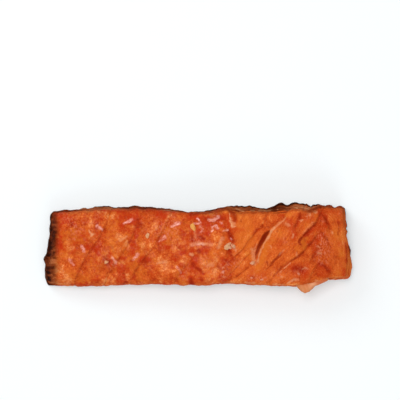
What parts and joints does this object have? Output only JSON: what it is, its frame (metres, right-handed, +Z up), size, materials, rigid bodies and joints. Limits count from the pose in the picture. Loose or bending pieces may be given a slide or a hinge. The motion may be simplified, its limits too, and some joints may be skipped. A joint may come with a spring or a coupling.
{
  "type": "hot smoked salmon fillet",
  "caption": "Strip of hot smoked salmon lying on its skin, with a thin belly end, a thick rounded back end, slanting flakes, an open split and a loose flake.",
  "frame": {"origin": "middle of the footprint, on the surface that the fillet rests on", "axes": "+X along the strip from the belly end to the back end, +Y to the far cut face, +Z up out of the top face"},
  "size_m": [0.1586, 0.0464, 0.0241],
  "materials": {
    "flesh": "moist, glazed smoked flesh with a soft broken sheen",
    "skin": "dark smoked skin, browned and shrivelled at its edge",
    "fat": "pale fat and set protein, slightly moist"
  },
  "bodies": {
    "root": {"fillet": "flesh"}
  },
  "joints": []
}
